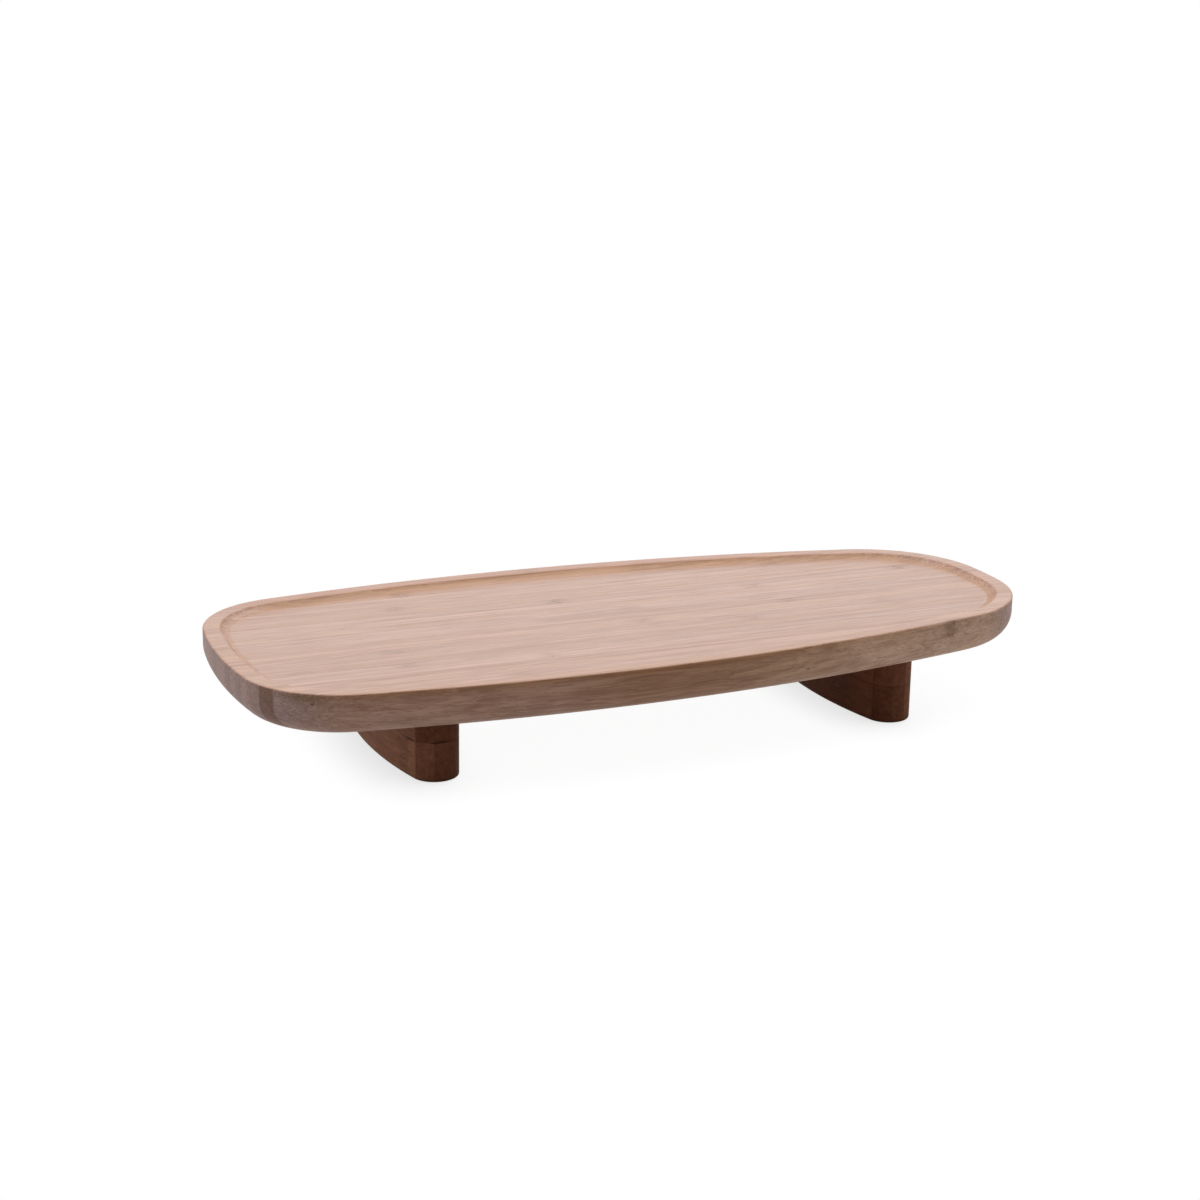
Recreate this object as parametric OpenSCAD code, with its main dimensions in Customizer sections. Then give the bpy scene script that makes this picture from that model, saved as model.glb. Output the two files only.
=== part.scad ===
// Footed serving board: a bamboo panel glued up from upright staves, with a shallow tray,
// standing on two cross feet of darker bamboo.
// The frame has its origin on the table, under the middle of the outline's box.
// +X runs along the board to its narrow end, +Y to its back edge, +Z up.

/* [Board] */
// Length of the board from end to end
board_length = 400; // [370:1:430]
// Width of the board across its widest place
board_width = 172; // [160:1:184]
// Thickness of the board at its rim
board_thickness = 20.5; // [18:0.5:24]
// Distance of the widest place from mid length, towards the broad end
widest_offset = 33; // [10:1:50]
// Radius of the two long bowed sides
side_radius = 854; // [760:1:960]
// Radius of the bowed broad end
broad_end_radius = 262; // [220:1:300]
// Radius of the two corners at the broad end
broad_corner_radius = 47; // [42:1:54]
// Radius of the bowed narrow end
narrow_end_radius = 233; // [200:1:270]
// Radius of the two corners at the narrow end
narrow_corner_radius = 57; // [50:1:64]
// Radius of the rounding along the lower edge
lower_edge_radius = 12.5; // [9:0.5:14]
// Radius of the eased upper edge
upper_edge_radius = 0.9; // [0.5:0.1:1.5]
// Number of bamboo staves glued side by side
stave_count = 24; // [20:1:27]

/* [Tray] */
// Width of the flat rim round the tray
rim_width = 8; // [7:0.5:10]
// Depth of the tray floor below the rim
tray_depth = 2.5; // [2:0.1:3]
// Radius of the cove between the rim and the tray floor
cove_radius = 6; // [5:0.5:8]

/* [Feet] */
// Height of a foot, from the table to the underside of the board
foot_height = 30.5; // [26:0.5:35]
// Length of a foot, across the board
foot_length = 123; // [110:1:136]
// Width of a foot at its middle
foot_width = 34; // [30:1:38]
// Radius of the rounded tips of a foot
foot_tip_radius = 11; // [9:0.5:13]
// Radius of the eased edge round the bottom of a foot
foot_edge_radius = 1; // [0.5:0.1:1.5]
// Height of the lower of a foot's two layers
lower_layer_height = 18.4; // [16:0.2:21]
// Number of bamboo strips glued side by side in each layer
strip_count = 5; // [4:1:6]
// Distance from the broad end to the middle of the foot under it
broad_foot_inset = 85.4; // [80:0.2:92]
// Distance from the narrow end to the middle of the foot under it
narrow_foot_inset = 84.1; // [80:0.1:92]

/* [Screws] */
// Length of a screw from the face of its head to its point
screw_length = 30; // [27:1:31]
// Diameter of a screw over its thread
screw_diameter = 4; // [3.5:0.1:4.5]
// Diameter of a screw's countersunk head
screw_head_diameter = 7.8; // [7:0.1:8.2]
// Depth of the counterbore under a screw's head
counterbore_depth = 10; // [9:0.5:11]
// Distance between the two screws of a foot
screw_spacing = 64.5; // [56:0.5:72]

/* [Hidden] */
$fn = 360;

half_length = board_length / 2;
half_width = board_width / 2;
stave_width = board_width / stave_count;
tray_floor = board_thickness - tray_depth;
cove_width = sqrt(cove_radius * cove_radius - pow(cove_radius - tray_depth, 2));

half_foot_length = foot_length / 2;
half_foot_width = foot_width / 2;
strip_width = foot_width / strip_count;
// Radius of a foot's long side that runs smoothly into both tips
tip_reach = half_foot_length - foot_tip_radius;
foot_side_radius = (pow(half_foot_width, 2) + pow(tip_reach, 2) - pow(foot_tip_radius, 2))
    / (2 * (half_foot_width - foot_tip_radius));
foot_places = [broad_foot_inset - half_length, half_length - narrow_foot_inset];

// Room round a screw in its hole through the foot, in the hole that it cuts in the board,
// and round the rim of its head
screw_play = 0.2;
thread_play = 0.05;
head_play = 0.3;
screw_head_height = (screw_head_diameter - screw_diameter) / 2;
head_rim = 0.4;
thread_pitch = 1.8;
thread_depth = 0.6;
screw_point = 4;
thread_length = 16;
recess_width = 0.9;
recess_span = 4.4;
recess_depth = 1.6;

// How far a cutting shape runs past what it cuts
overrun = 1;
// Largest turn and length of a facet along an outline, and the facets of each rounding
facet_angle = 5;
facet_length = 10;
lower_edge_steps = 8;
upper_edge_steps = 2;
cove_steps = 4;
// Angle by which two arcs that meet may miss each other, and reach of a slice past its sides
hair = 0.001;
slack = 0.0001;

bamboo_pale = [0.83, 0.68, 0.55];
bamboo_warm = [0.80, 0.65, 0.51];
bamboo_dark = [0.42, 0.27, 0.20];
bamboo_darker = [0.37, 0.23, 0.17];
steel = [0.72, 0.72, 0.70];

function two_digits(n) = str(n < 10 ? "0" : "", n);
function stave_name(i) = str("stave_", two_digits(i + 1));
function strip_name(foot, layer, i) =
    str(["broad", "narrow"][foot], "_foot_", ["lower", "upper"][layer], "_strip_", i + 1);

staves = [0 : stave_count - 1];
feet = [0 : 1];
layers = [0 : 1];
strips = [0 : strip_count - 1];

// Centre of an arc of radius r that runs smoothly from a circle at a to a circle at b, on its left
function blend_centre(a, radius_a, b, radius_b, r) =
    let (
        gap = norm(b - a),
        reach_a = radius_a - r,
        reach_b = radius_b - r,
        along = (pow(reach_a, 2) - pow(reach_b, 2) + pow(gap, 2)) / (2 * gap),
        aside = sqrt(pow(reach_a, 2) - pow(along, 2)),
        unit = (b - a) / gap
    )
    a + along * unit + aside * [-unit[1], unit[0]];

function heading(from, to) = atan2(to[1] - from[1], to[0] - from[0]);

// An outline is a list of arcs, each [centre, radius, start angle, end angle], round the origin.
// Half of an oval: from its +X end over a corner to the crest of its long side
function half_oval(end_x, end_radius, corner_radius, crest, long_radius) =
    let (
        end_centre = [end_x - end_radius, 0],
        long_centre = [crest[0], crest[1] - long_radius],
        corner = blend_centre(end_centre, end_radius, long_centre, long_radius, corner_radius),
        end_angle = heading(end_centre, corner),
        long_angle = heading(long_centre, corner)
    )
    [
        [end_centre, end_radius, 0, end_angle],
        [corner, corner_radius, end_angle, long_angle],
        [long_centre, long_radius, long_angle, 90]
    ];

// The same arcs turned over about the Y axis or the X axis
function over_y(arcs) = [for (a = arcs) [[-a[0][0], a[0][1]], a[1], 180 - a[3], 180 - a[2]]];
function over_x(arcs) = [for (a = arcs) [[a[0][0], -a[0][1]], a[1], -a[3], -a[2]]];

narrow_half = half_oval(half_length, narrow_end_radius, narrow_corner_radius,
    [-widest_offset, half_width], side_radius);
broad_half = over_y(half_oval(half_length, broad_end_radius, broad_corner_radius,
    [widest_offset, half_width], side_radius));
back_half = concat(narrow_half, broad_half);
board_outline = concat(back_half, over_x(back_half));

// A foot's outline lies along X here, with a tip at each end
foot_crest = [0, half_foot_width - foot_side_radius];
foot_tip = [tip_reach, 0];
foot_angle = heading(foot_crest, foot_tip);
foot_quarter = [
    [foot_tip, foot_tip_radius, 0, foot_angle],
    [foot_crest, foot_side_radius, foot_angle, 90]
];
foot_half = concat(foot_quarter, over_y(foot_quarter));
foot_outline = concat(foot_half, over_x(foot_half));

// Points of an outline, moved in by inset, that lie between the lines y = low and y = high
function facets(arc) =
    ceil(max((arc[3] - arc[2]) / facet_angle, arc[1] * (arc[3] - arc[2]) * PI / 180 / facet_length));
function arc_points(arc, inset) = [
    for (k = [0 : facets(arc)])
        let (angle = arc[2] + (arc[3] - arc[2]) * k / facets(arc))
        arc[0] + (arc[1] - inset) * [cos(angle), sin(angle)]
];
// Where an arc, moved in by inset, crosses the line at height y
function crossings(arc, inset, y) =
    let (
        r = arc[1] - inset,
        rise = y - arc[0][1],
        run = abs(rise) < r ? sqrt(r * r - rise * rise) : 0
    )
    [
        for (side = [-1, 1])
            let (
                angle = atan2(rise, side * run),
                turned = angle < arc[2] - hair ? angle + 360 : angle
            )
            if (run > 0 && turned <= arc[3] + hair)
                [arc[0][0] + side * run, y]
    ];
function between(outline, inset, low, high) = [
    for (arc = outline)
        each concat(
            [for (p = arc_points(arc, inset)) if (p[1] > low - slack && p[1] < high + slack) p],
            crossings(arc, inset, low),
            crossings(arc, inset, high)
        )
];

// Convex solid between y = low and y = high; a level is [inset, height]
module slice_of(outline, levels, low, high) {
    points = [
        for (level = levels)
            for (p = between(outline, level[0], low, high))
                [p[0], p[1], level[1]]
    ];
    if (len(points) > 3)
        hull()
            polyhedron(points, [[for (k = [0 : len(points) - 1]) k]]);
}

// Levels of a rounding that runs up from an underside at z = 0 into a side
function rounded_foot_of(r, steps) = [
    for (k = [0 : steps])
        let (angle = 90 * k / steps)
        [r * (1 - sin(angle)), r * (1 - cos(angle))]
];
// Levels of the same rounding at the top of a side, under a face at height z
function rounded_head_of(r, steps, z) = [
    for (k = [0 : steps])
        let (angle = 90 * k / steps)
        [r * (1 - cos(angle)), z - r * (1 - sin(angle))]
];

board_levels = concat(
    rounded_foot_of(lower_edge_radius, lower_edge_steps),
    rounded_head_of(upper_edge_radius, upper_edge_steps, board_thickness)
);
// The cove meets the rim at this angle from the tray floor
cove_angle = acos(1 - tray_depth / cove_radius);
tray_levels = concat(
    [
        for (k = [0 : cove_steps])
            let (angle = cove_angle * k / cove_steps)
            [rim_width + cove_width - cove_radius * sin(angle),
                tray_floor + cove_radius * (1 - cos(angle))]
    ],
    [[rim_width, board_thickness + overrun]]
);
lower_layer_levels = concat(
    rounded_foot_of(foot_edge_radius, upper_edge_steps),
    [[0, lower_layer_height]]
);
upper_layer_levels = [[0, lower_layer_height], [0, foot_height]];

module place_screws() {
    for (x = foot_places)
        for (side = [-1, 1])
            translate([x, side * screw_spacing / 2, counterbore_depth])
                children();
}

// The hole that a screw cuts in the board
module thread_hole() {
    cylinder(d = screw_diameter + 2 * thread_play, h = screw_length + 2 * thread_play);
}

// The stepped hole for a screw in a foot
module screw_hole() {
    cylinder(d = screw_diameter + 2 * screw_play, h = foot_height);
    translate([0, 0, -counterbore_depth - overrun])
        cylinder(
            d = screw_head_diameter + 2 * head_play,
            h = overrun + counterbore_depth + head_rim
        );
    translate([0, 0, head_rim])
        cylinder(
            d1 = screw_head_diameter + 2 * screw_play,
            d2 = screw_diameter + 2 * screw_play,
            h = screw_head_height
        );
}

module stave(i) {
    front = i * stave_width - half_width;
    back = front + stave_width;
    color(i % 2 == 0 ? bamboo_pale : bamboo_warm)
        difference() {
            translate([0, 0, foot_height])
                slice_of(board_outline, board_levels, front, back);
            translate([0, 0, foot_height])
                slice_of(board_outline, tray_levels, front - overrun, back + overrun);
            place_screws()
                thread_hole();
        }
}

module strip(foot, layer, i) {
    low = i * strip_width - half_foot_width;
    color(i % 2 == 0 ? bamboo_dark : bamboo_darker)
        difference() {
            translate([foot_places[foot], 0, 0])
                rotate([0, 0, -90])
                    slice_of(
                        foot_outline,
                        layer == 0 ? lower_layer_levels : upper_layer_levels,
                        low,
                        low + strip_width
                    );
            place_screws()
                screw_hole();
        }
}

// Half section of a screw, head down, with rings for its thread
module screw_profile() {
    body = screw_diameter / 2;
    root = body - thread_depth;
    turns = floor(thread_length / thread_pitch);
    thread_top = screw_length - screw_point;
    polygon(concat(
        [[0, 0], [screw_head_diameter / 2, 0], [screw_head_diameter / 2, head_rim]],
        [[body, screw_head_height + head_rim], [body, thread_top - turns * thread_pitch]],
        [for (k = [turns : -1 : 1])
            each [
                [root, thread_top - (k - 1 / 4) * thread_pitch],
                [root, thread_top - (k - 1 / 2) * thread_pitch],
                [body, thread_top - (k - 3 / 4) * thread_pitch],
                [body, thread_top - (k - 1) * thread_pitch - thread_pitch / 10]
            ]
        ],
        [[root, thread_top], [0, screw_length]]
    ));
}

module foot_screws() {
    color(steel)
        place_screws()
            difference() {
                rotate_extrude()
                    screw_profile();
                for (turn = [0, 90])
                    rotate([0, 0, turn])
                        translate([-recess_span / 2, -recess_width / 2, -overrun])
                            cube([recess_span, recess_width, recess_depth + overrun]);
            }
}

for (i = staves)
    stave(i);
for (foot = feet)
    for (layer = layers)
        for (i = strips)
            strip(foot, layer, i);
foot_screws();
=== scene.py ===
import math

import bmesh
import bpy
import numpy as np
from mathutils import Matrix, Vector


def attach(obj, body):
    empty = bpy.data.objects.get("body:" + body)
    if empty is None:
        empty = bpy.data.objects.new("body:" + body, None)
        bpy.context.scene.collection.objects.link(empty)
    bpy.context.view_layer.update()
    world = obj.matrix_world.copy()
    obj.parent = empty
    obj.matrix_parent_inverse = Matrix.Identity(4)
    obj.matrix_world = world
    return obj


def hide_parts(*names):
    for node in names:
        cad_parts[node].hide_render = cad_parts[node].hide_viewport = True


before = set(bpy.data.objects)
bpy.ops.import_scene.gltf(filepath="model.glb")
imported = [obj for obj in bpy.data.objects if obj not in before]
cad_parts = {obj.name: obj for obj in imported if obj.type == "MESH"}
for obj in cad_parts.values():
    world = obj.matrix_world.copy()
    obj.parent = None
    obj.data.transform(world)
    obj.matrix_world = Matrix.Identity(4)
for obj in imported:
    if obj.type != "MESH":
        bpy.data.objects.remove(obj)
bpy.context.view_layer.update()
print("frame loaded:", len(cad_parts), "nodes")

mm = 0.001
overrun = 1  # how far a cutter sticks out of what it cuts, in millimetres
onPlane = 1e-8  # metres from a cut at which a point still counts as on it

# Sizes that the shapes are worked out from, in millimetres, with the origin on the table
board = {
    "length": 400,
    "width": 172,
    "thickness": 20.5,
    "widestOffset": 33,  # widest place, from mid length towards the broad end
    "sideRadius": 854,
    "broadEndRadius": 262,
    "broadCornerRadius": 47,
    "narrowEndRadius": 233,
    "narrowCornerRadius": 57,
    "lowerEdgeRadius": 12.5,
    "upperEdgeRadius": 0.9,
    "staveCount": 24,
    "rimWidth": 8,
    "trayDepth": 2.5,
    "coveRadius": 6,
    "rimEase": 1.3,  # sanded edge between the rim and the cove
    "outlineStep": 2.0,  # longest step along the outline, in millimetres
    "outlineTurn": 2.0,  # and widest, in degrees
    "capRings": (4, 1.5),  # rings in the flat underside and tray floor, this far in from their edges
    "lowerSteps": 28,
    "wallLevels": 4,
    "upperSteps": 6,
    "rimLevels": 6,
    "easeSteps": 8,
    "coveSteps": 14,
}

foot = {
    "height": 30.5,
    "length": 123,
    "width": 34,
    "tipRadius": 11,
    "edgeRadius": 1,
    "lowerLayer": 18.4,
    "stripCount": 5,
    "broadInset": 85.4,  # middle of each foot from its end of the board
    "narrowInset": 84.1,
    "jointEase": 0.12,  # sanded edge along the glue line between the two layers
    "outlineStep": 1.2,
    "outlineTurn": 2.0,
    "capRings": (1.2, 0.4),
    "edgeSteps": 8,
    "wallLevels": 8,
    "easeSteps": 3,
    "drilledAside": {"lower": 1, "upper": 0},  # strips beside the middle one that the screw holes reach
}

screw = {
    "length": 30,
    "diameter": 4,
    "headDiameter": 7.8,
    "headRim": 0.4,
    "counterbore": 10,
    "spacing": 64.5,  # between the two screws of a foot
    "play": 0.2,  # room round the shank in the foot
    "headPlay": 0.3,
    "threadPlay": 0.05,  # room round the thread in the board
    "pitch": 1.8,
    "threadDepth": 0.6,
    "threadLength": 16,
    "pointLength": 4,
    "tipRadius": 0.08,
    "recessSpan": 4.4,
    "recessWidth": 0.9,
    "recessDepth": 1.6,
    "recessTaper": 0.45,  # share of the span left at the bottom of the cross
    "headEase": 0.1,  # small bevel of the head's edge
    "headRing": 0.5,  # how far in from the head's edge its cap starts
    "grooveFall": 2.6,  # how steeply the thread's groove falls, in depths a pitch
    "crestFlat": 0.15,  # depths by which that fall starts late, which leaves the crest flat
    "grooveLimit": 0.35,  # deepest groove at the point, as a share of the radius there
    "around": 40,
    "shankLevels": 4,
    "threadLevels": 140,
    "sharpAngle": 40,
}


def blendCentre(a, radiusA, b, radiusB, r):
    # centre of the arc of radius r that touches both circles from inside, left of the line a to b
    gap = b - a
    dist = np.hypot(*gap)
    along = ((radiusA - r) ** 2 - (radiusB - r) ** 2 + dist**2) / (2 * dist)
    aside = math.sqrt((radiusA - r) ** 2 - along**2)
    unit = gap / dist
    return a + along * unit + aside * np.array([-unit[1], unit[0]])


def heading(a, b):
    return math.atan2(b[1] - a[1], b[0] - a[0])


def halfOval(endX, endRadius, cornerRadius, crest, longRadius):
    # three tangent arcs from the +X end over a corner to the crest of the long side
    endCentre = np.array([endX - endRadius, 0.0])
    longCentre = np.array([crest[0], crest[1] - longRadius])
    corner = blendCentre(endCentre, endRadius, longCentre, longRadius, cornerRadius)
    endAngle, longAngle = heading(endCentre, corner), heading(longCentre, corner)
    return [
        (endCentre, endRadius, 0.0, endAngle),
        (corner, cornerRadius, endAngle, longAngle),
        (longCentre, longRadius, longAngle, math.pi / 2),
    ]


def overY(arcs):
    return [(c * [-1, 1], r, math.pi - b, math.pi - a) for c, r, a, b in reversed(arcs)]


def overX(arcs):
    return [(c * [1, -1], r, -b, -a) for c, r, a, b in reversed(arcs)]


def boardArcs():
    half, crestY, shift = board["length"] / 2, board["width"] / 2, board["widestOffset"]
    narrow = halfOval(half, board["narrowEndRadius"], board["narrowCornerRadius"],
                      (-shift, crestY), board["sideRadius"])
    broad = overY(halfOval(half, board["broadEndRadius"], board["broadCornerRadius"],
                           (shift, crestY), board["sideRadius"]))
    back = narrow + broad
    return back + [(c, r, a + 2 * math.pi, b + 2 * math.pi) for c, r, a, b in overX(back)]


def footArcs():
    halfWidth, tip = foot["width"] / 2, foot["tipRadius"]
    reach = foot["length"] / 2 - tip
    sideRadius = (halfWidth**2 + reach**2 - tip**2) / (2 * (halfWidth - tip))
    crest, tipCentre = np.array([0.0, halfWidth - sideRadius]), np.array([reach, 0.0])
    angle = heading(crest, tipCentre)
    quarter = [(tipCentre, tip, 0.0, angle), (crest, sideRadius, angle, math.pi / 2)]
    back = quarter + overY(quarter)
    return back + [(c, r, a + 2 * math.pi, b + 2 * math.pi) for c, r, a, b in overX(back)]


def tracePath(arcs, longest, widest):
    # points and outward directions along tangent arcs: centre + radius * (cos, sin) of an even angle
    points, outward = [], []
    for centre, radius, start, end in arcs:
        turn = end - start
        count = math.ceil(max(turn / math.radians(widest), radius * turn / longest))
        angle = start + turn * np.arange(count) / count
        away = np.column_stack([np.cos(angle), np.sin(angle)])
        points.append(centre + radius * away)
        outward.append(away)
    return np.vstack(points), np.vstack(outward)


def closedShell(name, verts):
    # closed shell from a grid of points, levels by places round, with flat caps at both ends
    levels, around = verts.shape[:2]
    ring = np.arange(around)
    here = np.arange(levels - 1)[:, None] * around + ring
    there = np.arange(levels - 1)[:, None] * around + np.roll(ring, -1)
    quads = np.stack([here, there, there + around, here + around], 2).reshape(-1, 4)
    faces = quads.tolist()
    faces.append(ring[::-1].tolist())
    faces.append((ring + (levels - 1) * around).tolist())
    mesh = bpy.data.meshes.new(name)
    mesh.from_pydata((verts.reshape(-1, 3) * mm).tolist(), [], faces)
    return mesh


def sweepSolid(name, path, outward, profile):
    # the profile's (inset, height) levels carried round the path
    inset, height = profile[:, 0], profile[:, 1]
    plan = path[None] - inset[:, None, None] * outward[None]
    lift = np.broadcast_to(height[:, None, None], (len(profile), len(path), 1))
    return closedShell(name, np.concatenate([plan, lift], 2))


def turnedSolid(name, centre, profile, around=48):
    # the profile's (radius, height) levels turned round an upright axis: centre + radius * (cos, sin)
    angle = np.linspace(0, 2 * math.pi, around, endpoint=False)
    outward = np.column_stack([np.cos(angle), np.sin(angle)])
    path = np.broadcast_to(np.array(centre, float), (around, 2))
    return sweepSolid(name, path, outward, profile * [-1, 1])


def arcLevels(centreInset, centreHeight, radius, start, end, steps):
    # a quarter or less of a rounding, as (inset, height) pairs at even angles in degrees
    angle = np.radians(np.linspace(start, end, steps + 1))
    return np.column_stack([centreInset + radius * np.cos(angle),
                            centreHeight + radius * np.sin(angle)])


def straightLevels(inset, height):
    # (inset, height) pairs of a flat or a wall: one of the two is the same for all
    return np.column_stack(np.broadcast_arrays(inset, height))


def between(low, high, count):
    # even values inside an interval, without its ends
    return np.linspace(low, high, count + 2)[1:-1]


def boardProfile():
    # underside, big lower rounding, wall, eased top edge, rim, eased inner edge, cove, tray floor
    base, lower, upper = foot["height"], board["lowerEdgeRadius"], board["upperEdgeRadius"]
    rim, depth, cove, ease = (board[key] for key in ("rimWidth", "trayDepth", "coveRadius", "rimEase"))
    top = base + board["thickness"]
    floorInset = rim + math.sqrt(cove**2 - (cove - depth) ** 2)
    # the easing's centre lies where its arc touches both the rim and the cove's arc
    easeInset = floorInset - math.sqrt((cove + ease) ** 2 - (cove - depth + ease) ** 2)
    slope = math.degrees(math.acos((cove - depth + ease) / (cove + ease)))
    rings = np.array(board["capRings"])
    return np.vstack([
        straightLevels(lower + rings, base),
        arcLevels(lower, base + lower, lower, 270, 180, board["lowerSteps"]),
        straightLevels(0, between(base + lower, top - upper, board["wallLevels"])),
        arcLevels(upper, top - upper, upper, 180, 90, board["upperSteps"]),
        straightLevels(between(upper, easeInset, board["rimLevels"]), top),
        arcLevels(easeInset, top - ease, ease, 90, 90 - slope, board["easeSteps"]),
        arcLevels(floorInset, top - depth + cove, cove, 270 - slope, 270, board["coveSteps"])[1:],
        straightLevels(floorInset + rings[::-1], top - depth),
    ])


def slabEdges(first, width, i, count):
    # edges of the i-th of some slabs side by side, None where the blank's own face ends it
    return first if i else None, first + width if i < count - 1 else None


def cutSlab(mesh, axis, low, high):
    # the part of a closed mesh between two planes across an axis, with its cuts filled
    bm = bmesh.new()
    bm.from_mesh(mesh)
    normal = Vector([float(axis == k) for k in range(3)])
    for place, side in ((low, -1), (high, 1)):
        if place is None:
            continue
        made = bmesh.ops.bisect_plane(bm, geom=bm.verts[:] + bm.edges[:] + bm.faces[:], dist=onPlane,
                                      plane_co=normal * place * mm, plane_no=normal * side,
                                      clear_outer=True)
        edges = [e for e in made["geom_cut"] if isinstance(e, bmesh.types.BMEdge)]
        if edges:
            bmesh.ops.triangle_fill(bm, edges=edges, use_beauty=True, use_dissolve=False,
                                    normal=normal * side)
    bmesh.ops.recalc_face_normals(bm, faces=bm.faces)
    part = bpy.data.meshes.new("slab")
    bm.to_mesh(part)
    bm.free()
    return part


def joinMeshes(name, meshes):
    # several meshes as one, the first ones used up
    bm = bmesh.new()
    for mesh in meshes:
        bm.from_mesh(mesh)
        bpy.data.meshes.remove(mesh)
    joined = bpy.data.meshes.new(name)
    bm.to_mesh(joined)
    bm.free()
    return joined


def drill(mesh, cutter):
    # the mesh less the closed cutter, which stays for the next piece
    block, tool = bpy.data.objects.new("block", mesh), bpy.data.objects.new("tool", cutter)
    for obj in (block, tool):
        bpy.context.scene.collection.objects.link(obj)
    bore = block.modifiers.new("bore", "BOOLEAN")
    bore.operation, bore.solver, bore.object = "DIFFERENCE", "EXACT", tool
    bpy.context.view_layer.update()
    cut = bpy.data.meshes.new_from_object(block.evaluated_get(bpy.context.evaluated_depsgraph_get()))
    for obj in (block, tool):
        bpy.data.objects.remove(obj)
    bpy.data.meshes.remove(mesh)
    return cut


def makePiece(name, mesh, sharpAngle=32):
    mesh.name = name
    mesh.shade_smooth()
    mesh.set_sharp_from_angle(angle=math.radians(sharpAngle))
    piece = bpy.data.objects.new(name, mesh)
    bpy.context.scene.collection.objects.link(piece)
    return piece


def dressPiece(piece, node):
    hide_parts(node)
    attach(piece, "root")
    return piece


def tell(mesh, name, values):
    # the same three numbers at every point of a piece, for its material to read
    layer = mesh.attributes.new(name, "FLOAT_VECTOR", "POINT")
    layer.data.foreach_set("vector", np.tile(np.array(values, np.float32), len(mesh.vertices)))


footPlaces = (foot["broadInset"] - board["length"] / 2, board["length"] / 2 - foot["narrowInset"])
screwPlaces = [(x, side * screw["spacing"] / 2) for x in footPlaces for side in (-1, 1)]


def screwHole():
    # stepped hole from under the foot: counterbore, countersink, then room for the shank
    s = screw
    head, shank = s["headDiameter"] / 2, s["diameter"] / 2
    face, coneHeight = s["counterbore"], head - shank
    profile = np.array([(head + s["headPlay"], -overrun),
                        (head + s["headPlay"], face + s["headRim"]),
                        (head + s["play"], face + s["headRim"]),
                        (shank + s["play"], face + s["headRim"] + coneHeight),
                        (shank + s["play"], foot["height"] + overrun)])
    return joinMeshes("screwHole", [turnedSolid("hole", at, profile) for at in screwPlaces])


def threadHole():
    # the hole that each screw cuts in the board
    radius = screw["diameter"] / 2 + screw["threadPlay"]
    top = screw["counterbore"] + screw["length"] + 2 * screw["threadPlay"]
    profile = np.array([(radius, foot["height"] - overrun), (radius, top)])
    return joinMeshes("threadHole", [turnedSolid("hole", at, profile) for at in screwPlaces])


# Board: one swept shell, cut into its glued staves
path, outward = tracePath(boardArcs(), board["outlineStep"], board["outlineTurn"])
blank = sweepSolid("boardBlank", path, outward, boardProfile())
threads = threadHole()
staveWidth = board["width"] / board["staveCount"]
screwStaves = {int((y + board["width"] / 2) // staveWidth) for x, y in screwPlaces}
staves = []
for i in range(board["staveCount"]):
    front = i * staveWidth - board["width"] / 2
    mesh = cutSlab(blank, 1, *slabEdges(front, staveWidth, i, board["staveCount"]))
    if i in screwStaves:
        mesh = drill(mesh, threads)
    piece = makePiece(f"stave{i + 1:02d}", mesh)
    staves.append(dressPiece(piece, f"stave_{i + 1:02d}"))
bpy.data.meshes.remove(blank)
bpy.data.meshes.remove(threads)
print("board cut into", len(staves), "staves")


def footProfile(layer):
    # bottom rounding, wall and eased glue joint of the lower layer, or glue joint and wall of the upper
    joint, ease, edge = foot["lowerLayer"], foot["jointEase"], foot["edgeRadius"]
    if layer == "lower":
        return np.vstack([
            straightLevels(edge + np.array(foot["capRings"]), 0),
            arcLevels(edge, edge, edge, 270, 180, foot["edgeSteps"]),
            straightLevels(0, between(edge, joint - ease, foot["wallLevels"])),
            arcLevels(ease, joint - ease, ease, 180, 90, foot["easeSteps"]),
        ])
    wall = np.linspace(joint + ease, foot["height"], foot["wallLevels"] + 1)[1:]
    return np.vstack([arcLevels(ease, joint + ease, ease, 270, 180, foot["easeSteps"]),
                      straightLevels(0, wall)])


# Feet: each has two layers of strips, and the screw holes come up through both
line, away = tracePath(footArcs(), foot["outlineStep"], foot["outlineTurn"])
turned = np.array([[0, -1], [1, 0]])  # a tip along +X goes to -Y
holes = screwHole()
stripWidth = foot["width"] / foot["stripCount"]
strips = []
for end, footX in zip(("broad", "narrow"), footPlaces):
    for layer in ("lower", "upper"):
        blank = sweepSolid("footBlank", line @ turned + [footX, 0], away @ turned, footProfile(layer))
        for i in range(foot["stripCount"]):
            side = footX + i * stripWidth - foot["width"] / 2
            mesh = cutSlab(blank, 0, *slabEdges(side, stripWidth, i, foot["stripCount"]))
            if abs(i - (foot["stripCount"] - 1) / 2) <= foot["drilledAside"][layer]:
                mesh = drill(mesh, holes)
            piece = makePiece(f"{end}Foot{layer.title()}Strip{i + 1}", mesh)
            strips.append(dressPiece(piece, f"{end}_foot_{layer}_strip_{i + 1}"))
        bpy.data.meshes.remove(blank)
bpy.data.meshes.remove(holes)
print("feet cut into", len(strips), "strips")


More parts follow.
